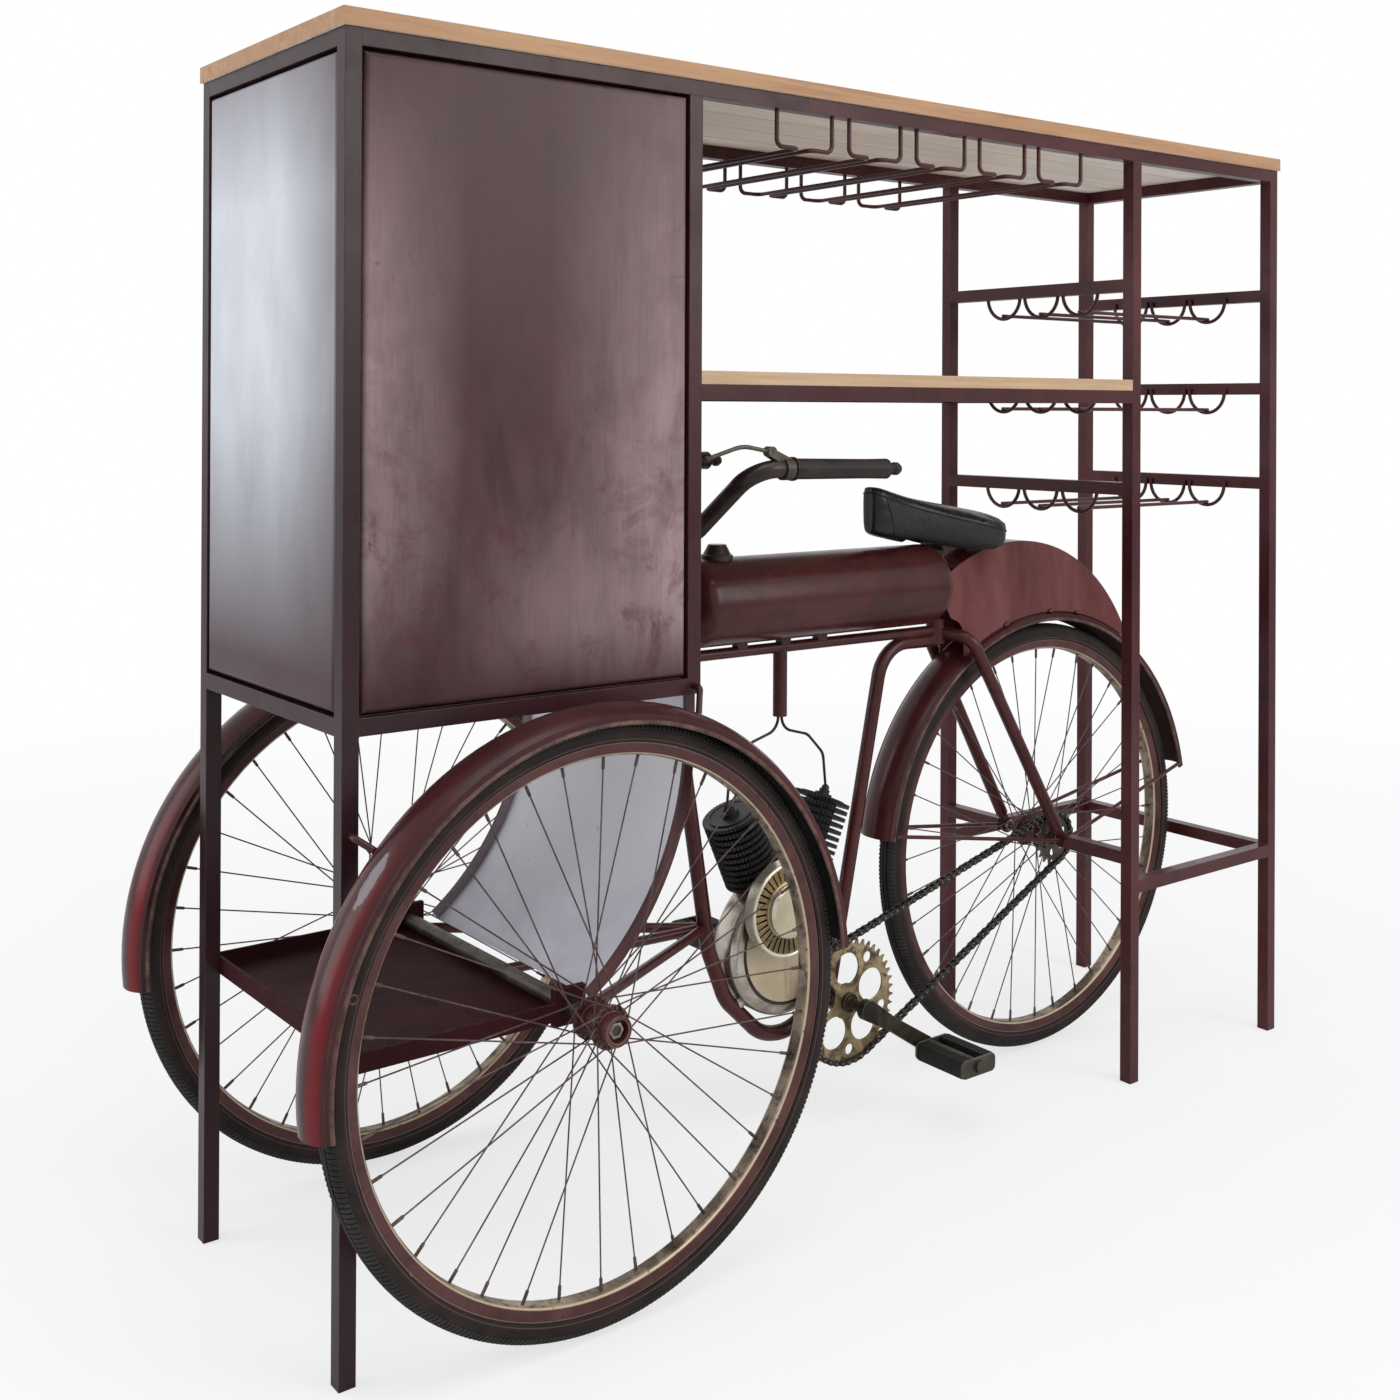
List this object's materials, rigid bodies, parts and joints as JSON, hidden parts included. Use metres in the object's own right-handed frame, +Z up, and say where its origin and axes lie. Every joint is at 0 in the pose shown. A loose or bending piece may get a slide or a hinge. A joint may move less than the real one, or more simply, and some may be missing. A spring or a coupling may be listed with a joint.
{
  "type": "bicycle serving cart",
  "caption": "Bicycle-built serving cart: square-tube table with plank top, cabinet, glass and bottle racks over a chain-driven three-wheeled bicycle with a mock engine.",
  "frame": {"origin": "centre of the overall box at floor level", "axes": "+X from the cabinet and front wheels towards the rear wheel, +Y towards the door side, +Z up"},
  "size_m": [1.8134, 0.621, 1.495],
  "materials": {
    "red_paint": "worn semi-gloss",
    "dark_metal": "worn satin black",
    "bare_steel": "dull, slightly rusty",
    "rim_metal": "pale aged brass tone",
    "brass": "tarnished",
    "cream_metal": "aged cream with stains",
    "black_iron": "matt black",
    "tyre_rubber": "matt, dusty",
    "black_rubber": "matt",
    "top_wood": "oiled honey-coloured planks",
    "shelf_wood": "pale oiled board",
    "vinyl": "black vinyl, fine grain"
  },
  "bodies": {
    "cart": {"posts": "red_paint", "top_rails": "red_paint", "cabinet_rails": "red_paint", "rack_rails": "red_paint", "bottle_cradles": "red_paint", "glass_rack": "red_paint", "cabinet_panels": "red_paint", "cabinet_floor": "red_paint", "panel_stops": "red_paint", "tray_plate": "red_paint", "tray_rails": "red_paint", "scoop": "red_paint", "front_guards": "red_paint", "rear_guard": "red_paint", "guard_stays": "red_paint", "bike_frame": "red_paint", "tank": "red_paint", "rear_cowl": "red_paint", "axle_stays": "dark_metal", "seat_post": "dark_metal", "stem": "dark_metal", "handlebar": "dark_metal", "hinge_posts": "bare_steel", "axles": "bare_steel", "axle_nuts": "bare_steel", "lever_brackets": "bare_steel", "tank_cap": "brass", "crankcase": "cream_metal", "round_cover": "cream_metal", "cylinders": "black_iron", "chain": "black_iron", "grips": "black_rubber", "plug_wires": "black_rubber", "table_top": "top_wood", "shelf_board": "shelf_wood", "saddle": "vinyl"},
    "near_wheel": {"near_tyre": "tyre_rubber", "near_rim": "rim_metal", "near_spokes": "rim_metal", "near_hub": "rim_metal"},
    "far_wheel": {"far_tyre": "tyre_rubber", "far_rim": "rim_metal", "far_spokes": "rim_metal", "far_hub": "rim_metal"},
    "rear_wheel": {"rear_tyre": "tyre_rubber", "rear_rim": "rim_metal", "rear_spokes": "rim_metal", "rear_hub": "rim_metal", "rear_sprocket": "bare_steel"},
    "crankset": {"cranks": "bare_steel", "chainring": "brass"},
    "near_pedal_set": {"near_pedal": "bare_steel", "near_treads": "black_rubber"},
    "far_pedal_set": {"far_pedal": "bare_steel", "far_treads": "black_rubber"},
    "door": {"cabinet_door": "red_paint", "hinge_leaves": "bare_steel", "door_knob": "brass"},
    "near_brake": {"near_lever": "bare_steel"},
    "far_brake": {"far_lever": "bare_steel"}
  },
  "joints": [
    {"name": "near_wheel_spin", "type": "hinge", "parent": "cart", "child": "near_wheel", "pos_m": [-0.53775, -0.2725, 0.353], "axis": [0, 1, 0], "continuous": true},
    {"name": "far_wheel_spin", "type": "hinge", "parent": "cart", "child": "far_wheel", "pos_m": [-0.53775, 0.2725, 0.353], "axis": [0, 1, 0], "continuous": true},
    {"name": "rear_wheel_spin", "type": "hinge", "parent": "cart", "child": "rear_wheel", "pos_m": [0.52225, 0, 0.353], "axis": [0, 1, 0], "continuous": true, "deforming": ["chain"]},
    {"name": "crank_spin", "type": "hinge", "parent": "cart", "child": "crankset", "pos_m": [0.06056, 0, 0.18038], "axis": [0, 1, 0], "continuous": true, "deforming": ["chain"]},
    {"name": "near_pedal_spin", "type": "hinge", "parent": "crankset", "child": "near_pedal_set", "pos_m": [0.17864, -0.148, 0.10516], "axis": [0, 1, 0], "continuous": true},
    {"name": "far_pedal_spin", "type": "hinge", "parent": "crankset", "child": "far_pedal_set", "pos_m": [-0.05751, 0.148, 0.2556], "axis": [0, 1, 0], "continuous": true},
    {"name": "cabinet_door_swing", "type": "hinge", "parent": "cart", "child": "door", "pos_m": [-0.81175, 0.2125, 1.0895], "axis": [0, 0, 1], "range_deg": [0, 110]},
    {"name": "near_brake_pull", "type": "hinge", "parent": "cart", "child": "near_brake", "pos_m": [-0.22775, -0.202, 1.006], "axis": [0, -1, 0], "range_deg": [0, 15], "stiffness_Nm_per_rad": 0.5, "springref_deg": -11.46},
    {"name": "far_brake_pull", "type": "hinge", "parent": "cart", "child": "far_brake", "pos_m": [-0.22775, 0.202, 1.006], "axis": [0, -1, 0], "range_deg": [0, 15], "stiffness_Nm_per_rad": 0.5, "springref_deg": -11.46}
  ],
  "couplings": [
    {"joint": "crank_spin", "follows": "rear_wheel_spin", "ratio": 0.45455}
  ]
}
